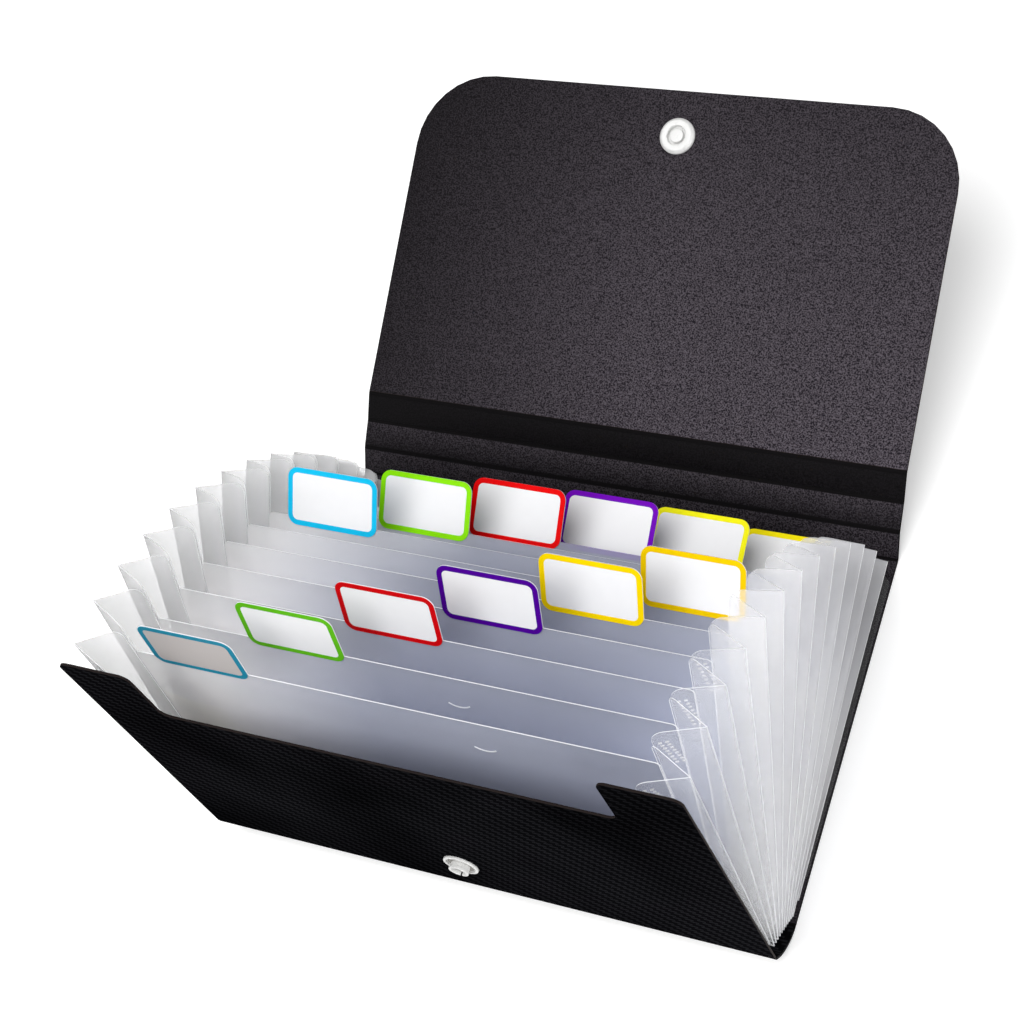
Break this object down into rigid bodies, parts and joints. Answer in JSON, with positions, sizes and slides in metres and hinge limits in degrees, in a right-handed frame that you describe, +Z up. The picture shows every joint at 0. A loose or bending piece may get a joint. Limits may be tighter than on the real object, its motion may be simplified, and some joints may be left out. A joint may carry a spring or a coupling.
{
  "type": "accordion file folder",
  "caption": "Black folding file with a fan of frosted tabbed pockets between pleated sides, coloured-border labels and a wide flap that wraps over and snaps shut.",
  "frame": {"origin": "middle of the back panel's outer face, on which the open folder lies", "axes": "+X across the width, +Y along the back panel from the bottom spine towards the flap, +Z up from the table"},
  "size_m": [0.18, 0.248, 0.1178],
  "materials": {
    "cover_sheet": "embossed black sheet",
    "frosted_insert": "frosted translucent film",
    "label_card": "white with a coloured border",
    "snap_plastic": "white moulded"
  },
  "bodies": {
    "back": {"back_panel": "cover_sheet", "back_flanges": "frosted_insert"},
    "spine": {"bottom_spine": "cover_sheet", "insert_bottom": "frosted_insert"},
    "front": {"front_panel": "cover_sheet", "front_flanges": "frosted_insert", "front_snap_stud": "snap_plastic", "front_snap_cap": "snap_plastic", "pleat_01": "frosted_insert"},
    "strip_back": {"top_strip_back": "cover_sheet"},
    "strip_middle": {"top_strip_middle": "cover_sheet"},
    "strip_front": {"top_strip_front": "cover_sheet"},
    "flap": {"flap": "cover_sheet", "flap_snap_cap": "snap_plastic", "flap_snap_socket": "snap_plastic"},
    "divider_01": {"divider_01": "frosted_insert", "label_01": "label_card", "pleat_02": "frosted_insert"},
    "divider_02": {"divider_02": "frosted_insert", "label_02": "label_card", "pleat_03": "frosted_insert"},
    "divider_03": {"divider_03": "frosted_insert", "label_03": "label_card", "pleat_04": "frosted_insert"},
    "divider_04": {"divider_04": "frosted_insert", "label_04": "label_card", "pleat_05": "frosted_insert"},
    "divider_05": {"divider_05": "frosted_insert", "label_05": "label_card", "pleat_06": "frosted_insert"},
    "divider_06": {"divider_06": "frosted_insert", "label_06": "label_card", "pleat_07": "frosted_insert"},
    "divider_07": {"divider_07": "frosted_insert", "label_07": "label_card", "pleat_08": "frosted_insert"},
    "divider_08": {"divider_08": "frosted_insert", "label_08": "label_card", "pleat_09": "frosted_insert"},
    "divider_09": {"divider_09": "frosted_insert", "label_09": "label_card", "pleat_10": "frosted_insert"},
    "divider_10": {"divider_10": "frosted_insert", "label_10": "label_card", "pleat_11": "frosted_insert"},
    "divider_11": {"divider_11": "frosted_insert", "label_11": "label_card", "pleat_12": "frosted_insert"},
    "divider_12": {"divider_12": "frosted_insert", "label_12": "label_card", "pleat_13": "frosted_insert"}
  },
  "joints": [
    {"name": "fan", "type": "hinge", "parent": "back", "child": "spine", "pos_m": [0, -0.05615, 0.0004], "axis": [-1, 0, 0], "range_deg": [0, 51.5], "deforming": ["pleat_01", "pleat_02", "pleat_03", "pleat_04", "pleat_05", "pleat_06", "pleat_07", "pleat_08", "pleat_09", "pleat_10", "pleat_11", "pleat_12", "pleat_13"]},
    {"name": "front_fold", "type": "hinge", "parent": "spine", "child": "front", "pos_m": [0, -0.06805, 0.00986], "axis": [-1, 0, 0], "range_deg": [0, 30.52]},
    {"name": "divider_01_fold", "type": "hinge", "parent": "spine", "child": "divider_01", "pos_m": [0, -0.06632, 0.01015], "axis": [-1, 0, 0], "range_deg": [0, 25.48]},
    {"name": "divider_02_fold", "type": "hinge", "parent": "spine", "child": "divider_02", "pos_m": [0, -0.06541, 0.00942], "axis": [-1, 0, 0], "range_deg": [0, 18.94]},
    {"name": "divider_03_fold", "type": "hinge", "parent": "spine", "child": "divider_03", "pos_m": [0, -0.06449, 0.0087], "axis": [-1, 0, 0], "range_deg": [0, 12.4]},
    {"name": "divider_04_fold", "type": "hinge", "parent": "spine", "child": "divider_04", "pos_m": [0, -0.06358, 0.00797], "axis": [-1, 0, 0], "range_deg": [0, 5.87]},
    {"name": "divider_05_fold", "type": "hinge", "parent": "spine", "child": "divider_05", "pos_m": [0, -0.06266, 0.00724], "axis": [-1, 0, 0], "range_deg": [-0.712, 0]},
    {"name": "divider_06_fold", "type": "hinge", "parent": "spine", "child": "divider_06", "pos_m": [0, -0.06175, 0.00651], "axis": [-1, 0, 0], "range_deg": [-7.25, 0]},
    {"name": "divider_07_fold", "type": "hinge", "parent": "spine", "child": "divider_07", "pos_m": [0, -0.06083, 0.00579], "axis": [-1, 0, 0], "range_deg": [-13.79, 0]},
    {"name": "divider_08_fold", "type": "hinge", "parent": "spine", "child": "divider_08", "pos_m": [0, -0.05992, 0.00506], "axis": [-1, 0, 0], "range_deg": [-20.33, 0]},
    {"name": "divider_09_fold", "type": "hinge", "parent": "spine", "child": "divider_09", "pos_m": [0, -0.059, 0.00433], "axis": [-1, 0, 0], "range_deg": [-26.87, 0]},
    {"name": "divider_10_fold", "type": "hinge", "parent": "spine", "child": "divider_10", "pos_m": [0, -0.05809, 0.0036], "axis": [-1, 0, 0], "range_deg": [-33.41, 0]},
    {"name": "divider_11_fold", "type": "hinge", "parent": "spine", "child": "divider_11", "pos_m": [0, -0.05717, 0.00287], "axis": [-1, 0, 0], "range_deg": [-39.94, 0]},
    {"name": "divider_12_fold", "type": "hinge", "parent": "spine", "child": "divider_12", "pos_m": [0, -0.05626, 0.00215], "axis": [-1, 0, 0], "range_deg": [-46.48, 0]},
    {"name": "strip_back_fold", "type": "hinge", "parent": "back", "child": "strip_back", "pos_m": [0, 0.05615, 0.0004], "axis": [1, 0, 0], "range_deg": [0, 27.02]},
    {"name": "strip_middle_fold", "type": "hinge", "parent": "strip_back", "child": "strip_middle", "pos_m": [0, 0.06259, 0.0064], "axis": [1, 0, 0], "range_deg": [0, 40.42]},
    {"name": "strip_front_fold", "type": "hinge", "parent": "strip_middle", "child": "strip_front", "pos_m": [0, 0.07039, 0.01048], "axis": [1, 0, 0], "range_deg": [0, 21.62]},
    {"name": "flap_hinge", "type": "hinge", "parent": "strip_front", "child": "flap", "pos_m": [0, 0.0775, 0.01565], "axis": [1, 0, 0], "range_deg": [-24, 74.89]}
  ],
  "couplings": [
    {"joint": "front_fold", "follows": "fan", "ratio": 0.59223},
    {"joint": "divider_01_fold", "follows": "fan", "ratio": 0.4944},
    {"joint": "divider_02_fold", "follows": "fan", "ratio": 0.36744},
    {"joint": "divider_03_fold", "follows": "fan", "ratio": 0.24048},
    {"joint": "divider_04_fold", "follows": "fan", "ratio": 0.11352},
    {"joint": "divider_05_fold", "follows": "fan", "ratio": -0.013443},
    {"joint": "divider_06_fold", "follows": "fan", "ratio": -0.1404},
    {"joint": "divider_07_fold", "follows": "fan", "ratio": -0.26736},
    {"joint": "divider_08_fold", "follows": "fan", "ratio": -0.39432},
    {"joint": "divider_09_fold", "follows": "fan", "ratio": -0.52128},
    {"joint": "divider_10_fold", "follows": "fan", "ratio": -0.64824},
    {"joint": "divider_11_fold", "follows": "fan", "ratio": -0.77521},
    {"joint": "divider_12_fold", "follows": "fan", "ratio": -0.90217},
    {"joint": "strip_back_fold", "follows": "fan", "ratio": 0.52427},
    {"joint": "strip_middle_fold", "follows": "fan", "ratio": 0.78447},
    {"joint": "strip_front_fold", "follows": "fan", "ratio": 0.41942}
  ]
}
